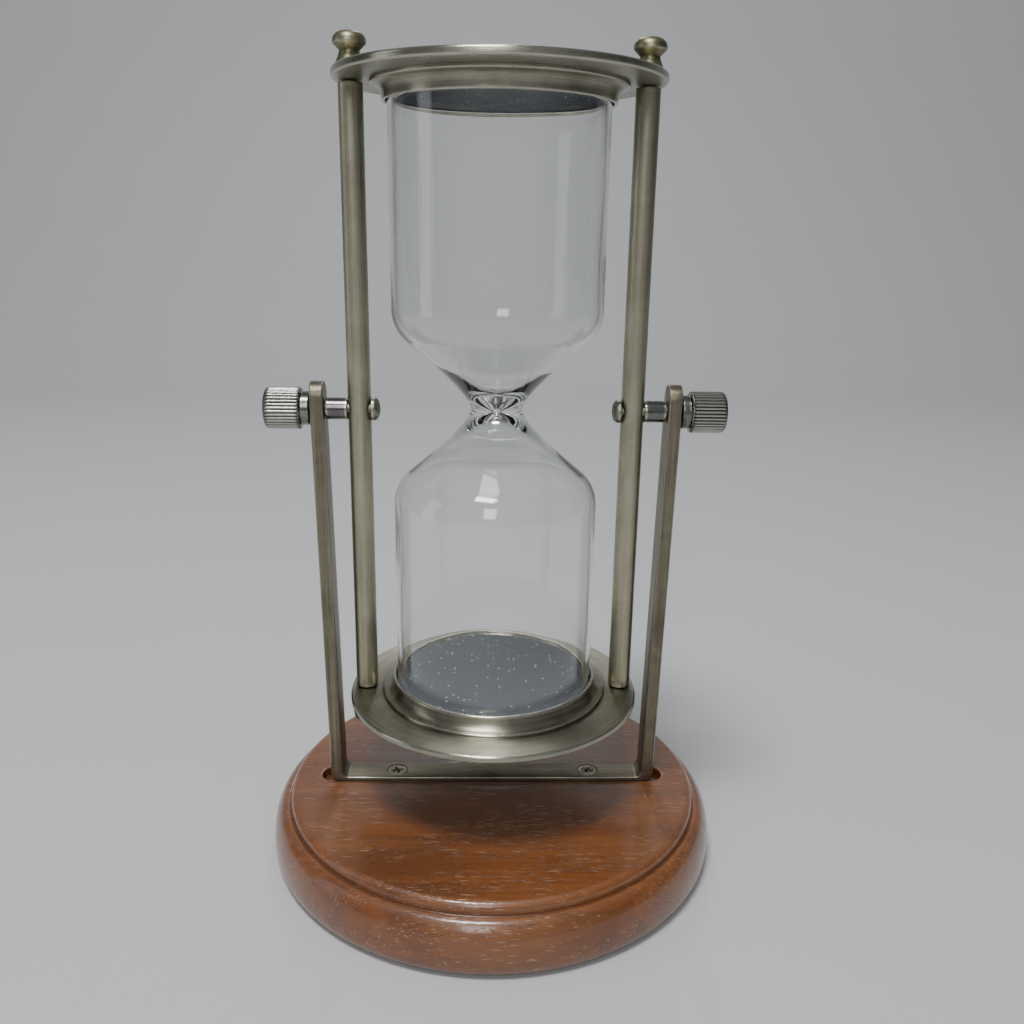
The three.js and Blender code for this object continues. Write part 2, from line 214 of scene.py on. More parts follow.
class Recipe:
    """A node material written as calls: each adds one node and returns its first output."""

    def __init__(self, name):
        self.material = bpy.data.materials.new(name)
        self.material.use_nodes = True
        self.tree = self.material.node_tree
        self.tree.nodes.clear()
        self.output = self.tree.nodes.new("ShaderNodeOutputMaterial")
        self.place = self.tree.nodes.new("ShaderNodeTexCoord").outputs["Object"]

    def add(self, kind, inputs=(), output=0, **settings):
        made = self.tree.nodes.new("ShaderNode" + kind)
        for key, value in settings.items():
            setattr(made, key, value)
        for socket, value in dict(inputs).items():
            if isinstance(value, bpy.types.NodeSocket):
                self.tree.links.new(value, made.inputs[socket])
            else:
                made.inputs[socket].default_value = value
        return made.outputs[output]

    def math(self, operation, a, b=0.0, clamp=False):
        return self.add("Math", {0: a, 1: b}, operation=operation, use_clamp=clamp)

    def noise(self, vector, scale, detail=4.0, rough=0.55, warp=0.0):
        inputs = {"Vector": vector, "Scale": scale, "Detail": detail, "Roughness": rough}
        return self.add("TexNoise", {**inputs, "Distortion": warp}, output="Fac")

    def stretch(self, scale, vector=None, location=(0, 0, 0)):
        """The place with each axis scaled, after it is moved to a centre."""
        start = self.place if vector is None else vector
        moved = self.add("VectorMath", {0: start, 1: location}, operation="SUBTRACT")
        return self.add("VectorMath", {0: moved, 1: scale}, operation="MULTIPLY")

    def band(self, value, low, high, out_low=0.0, out_high=1.0):
        """The value between low and high spread over out_low to out_high, held outside."""
        inputs = {"Value": value, 1: low, 2: high, 3: out_low, 4: out_high}
        return self.add("MapRange", inputs, interpolation_type="SMOOTHSTEP")

    def blend(self, factor, a, b, kind="MIX"):
        made = self.tree.nodes.new("ShaderNodeMix")
        made.data_type = "RGBA"
        made.blend_type = kind
        for socket, value in ((made.inputs[0], factor), (made.inputs[6], a), (made.inputs[7], b)):
            if isinstance(value, bpy.types.NodeSocket):
                self.tree.links.new(value, socket)
            else:
                socket.default_value = value
        return made.outputs[2]

    def bump(self, height, distance, strength=1.0, normal=None):
        inputs = {"Height": height, "Distance": distance, "Strength": strength}
        if normal is not None:
            inputs["Normal"] = normal
        return self.add("Bump", inputs)

    def wear_and_painted_light(self):
        return self.add("Attribute", output="Fac", attribute_name="wear_and_painted_light")

    def turning(self, centre, axis):
        """Place in turned coordinates: (cos, sin) of the angle about the axis, the radius and
        the place along the axis, so that marks run round the axis without a seam."""
        moved = self.add("VectorMath", {0: self.place, 1: centre}, operation="SUBTRACT")
        split = self.tree.nodes.new("ShaderNodeSeparateXYZ")
        self.tree.links.new(moved, split.inputs[0])
        order = {"Z": (0, 1, 2), "X": (1, 2, 0)}[axis]
        u, v, along = (split.outputs[i] for i in order)
        flat = self.add("CombineXYZ", {0: u, 1: v})
        radius = self.add("VectorMath", {0: flat}, output="Value", operation="LENGTH")
        spin = self.add("VectorMath", {0: flat}, operation="NORMALIZE")
        return spin, radius, along

    def finish(self, shader):
        self.tree.links.new(shader, self.output.inputs["Surface"])
        return self.material


def brass(name, marks, centre=(0, 0, 0), dark=(0.15, 0.14, 0.1), light=(0.36, 0.34, 0.26),
          spread=0.0):
    """Antique brass: a satin olive-grey metal with fine tool marks, darker patina in its inner
    corners and patches, and bright rubbed edges. marks is Z or X for marks that run round that
    axis, drawn-Z for marks along an upright rod, or drawn-bar for marks along the bent bar.
    spread above 0 draws highlights out square to marks that run round Z."""
    r = Recipe(name)
    if marks in ("Z", "X"):
        spin, radius, along = r.turning(centre, marks)
        depth = r.math("ADD", radius, along)
        arc = r.add("VectorMath", {0: spin, "Scale": 0.35}, operation="SCALE")
        rise = r.add("CombineXYZ", {2: r.math("MULTIPLY", depth, 900.0)})
        fine = r.noise(r.add("VectorMath", {0: arc, 1: rise}, operation="ADD"), 3.0, 6.0, 0.7)
        rise = r.add("CombineXYZ", {2: r.math("MULTIPLY", depth, 160.0)})
        broad = r.noise(r.add("VectorMath", {0: arc, 1: rise}, operation="ADD"), 2.0, 3.0)
    elif marks == "drawn-Z":
        fine = r.noise(r.stretch((900, 900, 14), location=centre), 3.0, 6.0, 0.7)
        broad = r.noise(r.stretch((260, 260, 6), location=centre), 2.0, 4.0)
    else:
        height = r.add("SeparateXYZ", {0: r.place}, output="Z")
        upright = r.band(height, centre[2], centre[2] + 0.004)
        fine = r.blend(upright, r.noise(r.stretch((14, 900, 900)), 3.0, 6.0, 0.7),
                       r.noise(r.stretch((900, 900, 14)), 3.0, 6.0, 0.7))
        broad = r.blend(upright, r.noise(r.stretch((5, 240, 240)), 2.0, 4.0),
                        r.noise(r.stretch((240, 240, 5)), 2.0, 4.0))
    patches = r.noise(r.place, 60.0, 5.0, 0.6, 0.6)
    specks = r.noise(r.place, 900.0, 2.0, 0.6)
    wear_and_painted_light = r.wear_and_painted_light()
    tone = r.math("ADD", r.math("MULTIPLY", fine, 0.6), r.math("MULTIPLY", broad, 0.4))
    tone = r.math("ADD", tone, r.math("MULTIPLY", r.math("SUBTRACT", patches, 0.5), 0.6))
    tone = r.band(tone, 0.25, 0.75)
    colour = r.blend(tone, (*dark, 1), (*light, 1))
    colour = r.blend(r.band(wear_and_painted_light, 0.15, 0.9, 0.0, 0.45), colour, (0.62, 0.6, 0.5, 1))
    colour = r.blend(r.band(wear_and_painted_light, -0.2, -0.9, 0.0, 0.4), colour, (0.04, 0.036, 0.024, 1))
    colour = r.blend(r.band(specks, 0.66, 0.74, 0.0, 0.35), colour, (0.05, 0.045, 0.03, 1))
    matt = 0.34 if spread > 0 else 0.42
    rough = r.math("ADD", r.band(tone, 0, 1, matt, matt - 0.1), r.band(wear_and_painted_light, 0.2, 0.9, 0, -0.08))
    rough = r.math("ADD", rough, r.band(patches, 0.35, 0.75, 0.0, 0.08))
    bump = r.bump(fine, 0.00007, 0.85)
    bump = r.bump(broad, 0.00002, 0.3, bump)
    shader = r.add("BsdfPrincipled", {
        "Base Color": colour, "Metallic": 1.0, "Roughness": rough, "Normal": bump,
        "Anisotropic": spread, "Anisotropic Rotation": 0.25})
    return r.finish(shader)


def dark_nickel(name, centre, dark=(0.11, 0.107, 0.098), light=(0.27, 0.263, 0.24)):
    """Dark plated steel, turned: smoother and more neutral than the brass, with painted shade in
    the grooves of the knurl and a painted highlight on its crests."""
    r = Recipe(name)
    spin, radius, along = r.turning(centre, "X")
    arc = r.add("VectorMath", {0: spin, "Scale": 0.4}, operation="SCALE")
    rise = r.add("CombineXYZ", {2: r.math("MULTIPLY", r.math("ADD", radius, along), 1100.0)})
    fine = r.noise(r.add("VectorMath", {0: arc, 1: rise}, operation="ADD"), 2.0, 5.0, 0.65)
    patches = r.noise(r.place, 180.0, 4.0, 0.6, 0.5)
    wear_and_painted_light = r.wear_and_painted_light()
    tone = r.math("ADD", r.math("MULTIPLY", fine, 0.4), r.math("MULTIPLY", patches, 0.6))
    colour = r.blend(r.band(tone, 0.3, 0.7), (*dark, 1), (*light, 1))
    # Pale towards the knurl's crests, a painted highlight, and on the sleeves' outer edges, rubbed
    # metal.
    colour = r.blend(r.band(wear_and_painted_light, 0.1, 0.8, 0.0, 0.7), colour, (0.58, 0.56, 0.5, 1))
    # Painted shade: near black in the knurl's grooves, and a little on the nut's collar beside the
    # bracket.
    colour = r.blend(r.band(wear_and_painted_light, -0.1, -0.8, 0.0, 0.85), colour, (0.02, 0.018, 0.015, 1))
    rough = r.math("ADD", r.band(tone, 0.3, 0.7, 0.26, 0.17), r.band(wear_and_painted_light, -0.7, 0, 0.25, 0.0))
    bump = r.bump(fine, 0.000008, 0.5)
    shader = r.add("BsdfPrincipled", {
        "Base Color": colour, "Metallic": 1.0, "Roughness": rough, "Normal": bump})
    return r.finish(shader)


def mahogany():
    """Reddish-orange stained hardwood under semi-gloss lacquer. The grain runs along X all
    through the block, so pores are streaks on the top and front and dots on the two ends."""
    r = Recipe("lacquered_mahogany")
    figure = r.noise(r.stretch((5, 70, 70)), 1.6, 6.0, 0.6, 1.2)
    fibre = r.noise(r.stretch((45, 700, 700)), 1.0, 5.0, 0.7, 0.3)
    glow = r.noise(r.stretch((9, 26, 26)), 1.0, 3.0, 0.5, 0.8)
    deep, mid, lit = (0.115, 0.03, 0.004, 1), (0.22, 0.064, 0.008, 1), (0.33, 0.11, 0.017, 1)
    colour = r.blend(r.band(figure, 0.3, 0.7), deep, mid)
    colour = r.blend(r.band(glow, 0.35, 0.75, 0.0, 0.5), colour, lit)
    colour = r.blend(r.band(fibre, 0.3, 0.7, 0.45, 0.0), colour, deep)
    some = r.noise(r.stretch((30, 110, 110)), 1.0, 3.0, 0.5)
    coarse = r.add("TexVoronoi", {"Vector": r.stretch((150, 1500, 1500)), "Scale": 1.0},
                   output="Distance")
    fine = r.add("TexVoronoi", {"Vector": r.stretch((420, 3600, 3600)), "Scale": 1.0},
                 output="Distance")
    streak = r.math("MULTIPLY", r.band(coarse, 0.32, 0.2), r.band(some, 0.38, 0.5))
    fleck = r.math("MULTIPLY", r.band(fine, 0.4, 0.22), r.band(some, 0.34, 0.5, 0.2, 0.7))
    pore = r.math("MAXIMUM", streak, fleck)
    glint_patches = r.noise(r.stretch((160, 900, 900), location=(0.3, 0, 0)), 1.0, 2.0, 0.5)
    colour = r.blend(r.math("MULTIPLY", pore, 0.55), colour, (0.05, 0.015, 0.005, 1))
    # Painted highlight: a share of the pore streaks and flecks turns pale orange, standing in for
    # glints along the pore edges.
    glinting_pores = r.math("MAXIMUM", streak, r.math("MULTIPLY", fleck, 0.45))
    pale = r.math("MULTIPLY", glinting_pores, r.band(glint_patches, 0.44, 0.54, 0.0, 0.6))
    colour = r.blend(pale, colour, (0.5, 0.27, 0.13, 1))
    colour = r.blend(r.band(r.wear_and_painted_light(), 0.1, 0.9, 0.0, 0.3), colour, (0.42, 0.18, 0.07, 1))
    # Painted shade: inner corners, the quirk and the bar's channel darken towards near black.
    colour = r.blend(r.band(r.wear_and_painted_light(), -0.2, -0.9, 0.0, 0.45), colour, (0.06, 0.018, 0.006, 1))
    bump = r.add("Bump", {"Height": pore, "Distance": 0.00015, "Strength": 0.8}, invert=True)
    bump = r.bump(fibre, 0.00006, 0.5, bump)
    lacquer = r.bump(r.noise(r.place, 260.0, 3.0, 0.5), 0.00006, 0.4, r.bump(pore, 0.00005, 0.5))
    rough = r.band(fibre, 0.3, 0.7, 0.4, 0.52)
    shader = r.add("BsdfPrincipled", {
        "Base Color": colour, "Roughness": rough, "Normal": bump, "Coat Weight": 1.0,
        "Coat Roughness": 0.14, "Coat IOR": 1.5, "Coat Normal": lacquer})
    return r.finish(shader)


def blown_glass():
    """Clear blown glass with faint waves. Lamps shine through it."""
    r = Recipe("blown_glass")
    waves = r.bump(r.noise(r.stretch((22, 22, 9)), 1.0, 2.0, 0.5), 0.0004, 0.12)
    glass = r.add("BsdfPrincipled", {
        "Base Color": (0.985, 0.992, 0.985, 1), "Roughness": 0.0, "IOR": 1.5,
        "Transmission Weight": 1.0, "Normal": waves})
    clear = r.add("BsdfTransparent", {"Color": (0.96, 0.97, 0.96, 1)})
    lamp = r.add("LightPath", output="Is Shadow Ray")
    return r.finish(r.add("MixShader", {0: lamp, 1: glass, 2: clear}))


def dusty_rubber():
    """Slate-black rubber with fine grain, a dusty bloom and scattered pale specks."""
    r = Recipe("dusty_rubber")
    bloom = r.noise(r.place, 55.0, 4.0, 0.6, 0.4)
    grain = r.noise(r.place, 1400.0, 2.0, 0.6)
    cells = r.add("TexVoronoi", {"Vector": r.place, "Scale": 560.0}, output="Distance")
    some = r.add("TexVoronoi", {"Vector": r.place, "Scale": 560.0}, output="Color")
    picked = r.band(r.add("SeparateColor", {0: some}), 0.66, 0.78)
    speck = r.math("MULTIPLY", r.band(cells, 0.22, 0.12), picked)
    colour = r.blend(r.band(bloom, 0.3, 0.75), (0.026, 0.029, 0.036, 1), (0.052, 0.058, 0.069, 1))
    colour = r.blend(r.band(grain, 0.45, 0.75, 0.0, 0.4), colour, (0.078, 0.084, 0.097, 1))
    colour = r.blend(speck, colour, (0.46, 0.44, 0.39, 1))
    bump = r.bump(grain, 0.00004, 0.5)
    shader = r.add("BsdfPrincipled", {
        "Base Color": colour, "Roughness": r.band(bloom, 0.3, 0.7, 0.5, 0.7), "Normal": bump,
        "Specular IOR Level": 0.2})
    return r.finish(shader)


def felt():
    """Short dark wool felt: a tangle of fibres at two scales, with a soft sheen."""
    r = Recipe("dark_felt")
    tangle = r.noise(r.place, 1500.0, 6.0, 0.75, 1.5)
    clumps = r.noise(r.place, 220.0, 3.0, 0.6)
    tone = r.math("ADD", r.math("MULTIPLY", tangle, 0.7), r.math("MULTIPLY", clumps, 0.3))
    colour = r.blend(r.band(tone, 0.3, 0.7), (0.012, 0.012, 0.011, 1), (0.06, 0.058, 0.052, 1))
    bump = r.bump(tangle, 0.0002, 0.8)
    shader = r.add("BsdfPrincipled", {
        "Base Color": colour, "Roughness": 0.95, "Sheen Weight": 0.4, "Normal": bump})
    return r.finish(shader)


def plain(name, colour, rough):
    r = Recipe(name)
    grain = r.noise(r.place, 12.0, 3.0)
    tint = r.blend(r.band(grain, 0.2, 0.8, 0.0, 0.06), (*colour, 1), (0.5, 0.5, 0.5, 1))
    return r.finish(r.add("BsdfPrincipled", {"Base Color": tint, "Roughness": rough}))


# ---------------------------------------------------------------- pieces of the stand


def make_felt():
    low, high = extent("base_felt_pad")
    radius = high[0]
    outline = refine(fillet([
        (0, low[2], 0), (radius, low[2], 0.25), (radius, high[2], 0.25), (0, high[2], 0)]), 6.0)
    piece = settle("base_felt", [turned("base_felt", outline, sides=180)], felt())
    return stand_for(piece, "base_felt_pad", "stand")


def make_wooden_base():
    """The block is turned about Z with a broad bulge, a quirk and a bead round a flat top. Its
    inner rows run from the round edge of the top to the round-ended channel the bar lies in,
    down the channel's wall and in to the middle of its floor."""
    low, high = extent("wooden_base")
    bar_low, _ = extent("u_bracket")
    bottom, top, wide = low[2], high[2], high[0]
    flat = wide - 8.1
    bead = 2.3
    floor = bar_low[2] - 0.3
    side = np.array([[0, bottom], [wide - 2.2, bottom]])
    side = np.concatenate([side, bezier((wide - 2.2, bottom), (wide - 0.7, bottom),
                                        (wide, bottom + 1.6), (wide, 6.0))])
    side = np.concatenate([side, bezier((wide, 6.0), (wide, 11.5), (wide - 1.8, 16.6),
                                        (wide - 5.0, 16.95), 40)])
    quirk = fillet([(wide - 5.0, 16.95, 0), (flat + bead, 16.5, 0.3),
                    (flat + bead, top - bead, 0)])[1:]
    arc = np.linspace(0, math.pi / 2, 20)[1:]
    edge = np.stack([flat + bead * np.cos(arc), top - bead + bead * np.sin(arc)], 1)
    outline = refine(np.concatenate([side, quirk, edge]), 1.5)

    angle = np.unique(np.concatenate([
        np.linspace(0, TURN, 217)[:-1],
        np.concatenate([c + np.linspace(-0.12, 0.12, 41) for c in (0, math.pi)]) % TURN]))
    end_radius, middle = 5.05, 52.45
    along, over = np.abs(np.cos(angle)), np.abs(np.sin(angle))
    straight = end_radius / np.maximum(over, 1e-9)
    curved = middle * along + np.sqrt(
        np.maximum(end_radius**2 - (middle * over) ** 2, 0))
    slot = np.where(straight * along <= middle, straight, curved)

    def ring(radius, height):
        return np.stack([radius * np.cos(angle), radius * np.sin(angle),
                         np.full_like(angle, height)], -1)

    rows = [ring(np.full_like(angle, r), z) for r, z in outline]
    wear_and_painted_light = list(edge_wear_and_light(outline))
    for t in np.linspace(0, 1, 12)[1:-1]:
        rows.append(ring(flat + (slot + 0.35 - flat) * t, top))
        wear_and_painted_light.append(0.0)
    for drop, back in ((0, 0.35), (0.06, 0.18), (0.18, 0.06), (0.35, 0)):
        rows.append(ring(slot + back, top - drop))
        wear_and_painted_light.append(0.55)
    # Painted shade: the channel's wall and floor under the bar take -0.7, which the wood darkens.
    for height, back in ((floor + 0.9, 0), (floor + 0.2, 0.0), (floor, 0.2), (floor, 3.0)):
        rows.append(ring(np.maximum(slot - back, slot * 0.2), height))
        wear_and_painted_light.append(-0.7)
    rows.append(ring(np.zeros_like(angle), floor))
    wear_and_painted_light.append(-0.7)
    grid = np.stack(rows)
    piece = settle("wooden_base", [mesh_from_grid("wooden_base", grid, np.array(wear_and_painted_light)[:, None])],
                   mahogany(), 50)
    return stand_for(piece, "wooden_base", "stand")


def bar_path(outer, low, top, bend, thickness, splay):
    """The middle line of the bracket's bar from the left end to the right end, as points (x, z)
    and the direction square to it, pointing to the outside of the U."""
    rise = AXIS_HEIGHT - low - bend
    centre = outer - bend / math.cos(splay) - rise * math.tan(splay)
    radius = bend - thickness / 2
    start = np.array([centre + radius * math.cos(splay), low + bend - radius * math.sin(splay)])
    length = (top - start[1]) / math.cos(splay)
    rising = np.array([math.sin(splay), math.cos(splay)])
    up = start + rising * np.linspace(0, 1, 90)[::-1, None] * length
    out = np.tile([math.cos(splay), -math.sin(splay)], (90, 1))
    turn = np.linspace(-splay, -math.pi / 2, 21)[1:]
    round_out = np.stack([np.cos(turn), np.sin(turn)], 1)
    rounded = np.array([centre, low + bend]) + radius * round_out
    flat = np.linspace(centre, 0, 40)[1:]
    level = np.stack([flat, np.full_like(flat, low + thickness / 2)], 1)
    half = np.concatenate([up, rounded, level])
    half_out = np.concatenate([out, round_out, np.tile([0.0, -1.0], (len(flat), 1))])
    mirror = np.array([-1, 1])
    return (np.concatenate([half * mirror, half[::-1][1:]]),
            np.concatenate([half_out * mirror, half_out[::-1][1:]]))


def make_bracket():
    """A flat bar swept along its bent path. The section is a rectangle with eased corners. At
    both tops it narrows to a half round, and holes for pins and screws are cut through."""
    low, high = extent("u_bracket")
    thickness, width, ease = 4.0, high[1] * 2, 0.45
    splay = math.radians(0.95)
    path, out = bar_path(55.9, low[2], high[2], 6.0, thickness, splay)
    step = np.concatenate([[0], np.cumsum(np.linalg.norm(np.diff(path, axis=0), axis=1))])
    total = step[-1]
    corner = np.linspace(0, math.pi / 2, 5)
    arcs = []
    for k, (sx, sy) in enumerate(((1, 1), (-1, 1), (-1, -1), (1, -1))):
        turn = corner + k * math.pi / 2
        arcs.append(np.stack([sx * (thickness / 2 - ease) + ease * np.cos(turn),
                              sy + ease * np.sin(turn), np.full(5, sy)], 1))
    section = np.concatenate(arcs)
    ends = np.linspace(0, 1, 15)[1:] ** 2 * width / 2
    fine = np.unique(np.concatenate([[0.02], ends, step[(step > width / 2)
                                     & (step < total - width / 2)], total - ends,
                                     [total - 0.02]]))
    fine = fine[(fine >= 0.02) & (fine <= total - 0.02)]
    spot = np.stack([np.interp(fine, step, path[:, k]) for k in (0, 1)], 1)
    away = np.stack([np.interp(fine, step, out[:, k]) for k in (0, 1)], 1)
    away /= np.linalg.norm(away, axis=1)[:, None]
    near = np.minimum(fine, total - fine)
    half = np.where(near < width / 2,
                    np.sqrt(np.maximum((width / 2) ** 2 - (width / 2 - near) ** 2, 0)), width / 2)
    half = np.maximum(half, ease + 0.05)
    across = section[None, :, 0, None] * away[:, None, :]
    y = section[None, :, 2] * (half[:, None] - ease) + (section[None, :, 1] - section[None, :, 2])
    grid = np.stack([spot[:, None, 0] + across[..., 0], y, spot[:, None, 1] + across[..., 1]], -1)
    middle = grid.mean(1, keepdims=True)
    grid = np.concatenate([np.repeat(middle[:1], grid.shape[1], 1), grid,
                           np.repeat(middle[-1:], grid.shape[1], 1)])
    wear_and_light_values = np.tile(np.array([0.1, 0.6, 0.8, 0.6, 0.1] * 4), (grid.shape[0], 1))
    mesh = mesh_from_grid("u_bracket", grid, wear_and_light_values)
    metal = brass("bracket_brass", "drawn-bar", (0, 0, (low[2] + 4.5) * MM),
                  dark=(0.115, 0.1, 0.07), light=(0.29, 0.262, 0.19))
    piece = settle("u_bracket", [mesh], metal, 35)
    cutters = []
    for side in (-1, 1):
        hole = turned("hole", np.array([[0, side * 50.0], [2.2, side * 50.0],
                                        [2.2, side * 60.0], [0, side * 60.0]])[::side],
                      (0, 0, AXIS_HEIGHT), "X", 48)
        cutters.append(settle("pin_hole", [hole], metal))
        sink = np.array([[0, -6], [1.9, -6], [1.9, -1.8], [3.4, -0.3], [3.4, 1.0], [0, 1.0]])
        mesh = turned("sink", sink, (side * 32.3, 0, low[2] + thickness), "Z", 64)
        cutters.append(settle("countersink", [mesh], metal))
    cut(piece, cutters)
    return stand_for(piece, "u_bracket", "stand")


def cross_dip(x, y, width, deep):
    """Depth of a pressed cross recess at each place: two crossed slots with sloping sides that
    grow shallower towards their ends, and a pit where they meet."""
    def slot(a, b):
        sides = np.clip((width * 0.14 - np.abs(b)) / (width * 0.05), 0, 1)
        ends = np.clip((width * 0.52 - np.abs(a)) / (width * 0.25), 0, 1)
        return sides * ends
    return deep * np.maximum(slot(x, y), slot(y, x))


def screw_head(name, outline, recess, deep, sides=144):
    """A screw with its head up: the outline turned about Z, its top rows fine enough to carry
    the cross recess."""
    def shift(angle, radius, height):
        x, y = radius * np.cos(angle), radius * np.sin(angle)
        top = height > outline[-1, 1] - 1.2
        dip = np.where(top & (radius < recess), cross_dip(x, y, recess * 1.8, deep), 0)
        return 0, -dip
    return turned(name, outline, sides=sides, shift=shift)


def place_mesh(mesh, matrix):
    mesh.transform(matrix)
    return mesh


def make_bracket_screws(finish):
    for hand in ("left", "right"):
        low, high = extent(f"bracket_screw_{hand}")
        centre = (low + high) / 2
        crown = np.linspace(1, 0, 26)[:, None]
        outline = np.concatenate([
            refine(fillet([(0, -14, 0), (1.6, -12.4, 0.3), (1.6, -1.8, 0.1), (3.1, -0.35, 0.12),
                           (3.1, -0.12, 0.1), (2.95, -0.05, 0)]), 1.5),
            np.concatenate([2.9 * crown, 0.02 + 0.06 * (1 - crown**2) - 0.1], 1)])
        mesh = screw_head("bracket_screw", outline, 1.9, 1.0)
        turn = Matrix.Rotation(0.35 if hand == "left" else 1.1, 4, "Z")
        spot = Matrix.Translation(Vector((centre[0], 0, high[2] + 0.1)) * MM)
        piece = settle(f"bracket_screw_{hand}", [place_mesh(mesh, spot @ turn)], finish, 30)
        stand_for(piece, f"bracket_screw_{hand}", "stand")


# ---------------------------------------------------------------- pieces of the swinging frame


def make_posts():
    for hand in ("left", "right"):
        low, high = extent(f"support_post_{hand}")
        centre = (low + high) / 2
        radius = (high[0] - low[0]) / 2
        foot, head = centre[2] - PLATE_REACH + 0.3, centre[2] + PLATE_REACH - 0.3
        outline = refine(fillet([
            (0, low[2], 0), (2.0, low[2], 0.4), (2.0, foot, 0), (radius, foot, 0.25),
            (radius, head, 0.25), (2.0, head, 0), (2.0, high[2], 0.4), (0, high[2], 0)]), 2.0)
        spot = (centre[0], centre[1], 0)
        finish = brass(f"post_brass_{hand}", "drawn-Z", tuple(np.array(spot) * MM),
                       dark=(0.3, 0.285, 0.2), light=(0.5, 0.475, 0.355))
        piece = settle(f"support_post_{hand}", [turned("post", outline, spot, sides=96)], finish)
        hole = turned("hole", np.array([[0, -10.0], [2.2, -10], [2.2, 10], [0, 10]]),
                      (centre[0], 0, AXIS_HEIGHT), "X", 48)
        cut(piece, [settle("pin_hole", [hole], finish)])
        stand_for(piece, f"support_post_{hand}", "frame")


def plate_outline():
    """The plate's outline as (radius, height above the flange's inner face): underside, rim,
    flange, then the boss with its foot, cove and lip, and the recess the pad lies in."""
    rim = fillet([(0, -2.3, 0), (46.5, -2.3, 0.75), (46.5, 0, 0.75), (36.1, 0, 0.25),
                  (36.1, 0.9, 0.5), (35.0, 1.25, 0.2), (34.6, 1.35, 0)])
    cove = bezier((34.6, 1.35), (33.5, 1.9), (33.0, 2.9), (32.95, 4.3), 16)
    lip = fillet([(32.95, 4.3, 0), (32.95, 5.4, 0.45), (31.9, 5.4, 0.45), (31.9, 1.9, 0.3),
                  (0, 1.9, 0)])[1:]
    return refine(np.concatenate([rim, cove, lip]), 1.2)


def make_plates():
    outline = plate_outline()
    for end, side in (("bottom", -1), ("top", 1)):
        height = AXIS_HEIGHT + side * PLATE_REACH
        mesh = turned("plate", outline, (0, 0, height), "Z" if side < 0 else "-Z", 220)
        finish = brass(f"plate_brass_{end}", "Z", (0, 0, height * MM),
                       dark=(0.185, 0.175, 0.13), light=(0.39, 0.375, 0.3), spread=0.85)
        piece = settle(f"end_plate_{end}", [mesh], finish, 30)
        cutters = []
        for x in (-41.5, 41.5):
            hole = turned("hole", np.array([[0, -8.0], [2.3, -8], [2.3, 8], [0, 8]]),
                          (x, 0, height), "Z", 40)
            cutters.append(settle("post_hole", [hole], finish))
        cut(piece, cutters)
        stand_for(piece, f"end_plate_{end}", "frame")


def make_finials():
    neck = bezier((4.05, 1.2), (3.9, 2.5), (3.0, 3.8), (2.8, 5.1), 14)
    head = fillet([(2.8, 5.1, 0), (4.72, 7.0, 0.4), (4.62, 7.9, 0)])
    dome = bezier((4.62, 7.9), (4.2, 9.5), (2.6, 10.2), (0, 10.2), 28)
    bore_and_foot = [[0, 4.8], [2.2, 4.8], [2.2, 0.0], [3.95, 0.0], [4.05, 0.1], [4.05, 1.1]]
    outline = np.concatenate([bore_and_foot, neck, head, dome])
    for end, side in (("bottom", -1), ("top", 1)):
        for hand in ("left", "right"):
            node = f"finial_{end}_{hand}"
            low, high = extent(node)
            spot = ((low[0] + high[0]) / 2, 0, low[2] if side > 0 else high[2])
            mesh = turned("finial", outline, spot, "Z" if side > 0 else "-Z", 96)
            finish = brass(f"finial_brass_{end}_{hand}", "Z", tuple(np.array(spot) * MM),
                           dark=(0.12, 0.11, 0.055), light=(0.34, 0.32, 0.195))
            stand_for(settle(node, [mesh], finish, 30), node, "frame")


def bulb_line(end, wall, waist, cone_start, control, throat):
    """Lower half of a glass surface from its open end to the waist, as (radius, height)."""
    radius, shoulder = 31.4 - wall, 12 - wall
    turn = np.linspace(0, math.radians(49.7), 22)
    shoulder_arc = np.stack([radius - shoulder + shoulder * np.cos(turn),
                             WAIST_RISE - 29.5 + shoulder * np.sin(turn)], 1)
    start = (cone_start[0], WAIST_RISE - cone_start[1])
    neck = bezier(start, (control[0], WAIST_RISE - control[1]), (waist, WAIST_RISE - throat),
                  (waist, WAIST_RISE), 30)
    return np.concatenate([[[radius, -end]], shoulder_arc, [start], neck])


def both_bulbs(line):
    """The lower line and the same line turned upside down about the waist."""
    end = -line[0, 1]
    stretch = (end - WAIST_RISE - 29.5) / (end + WAIST_RISE - 29.5)
    below = WAIST_RISE - line[::-1][1:, 1]
    past = np.maximum(0, below - 29.5)
    upper = np.stack([line[::-1][1:, 0], WAIST_RISE + below - past + past * stretch], 1)
    return refine(np.concatenate([line, upper]), 1.6)


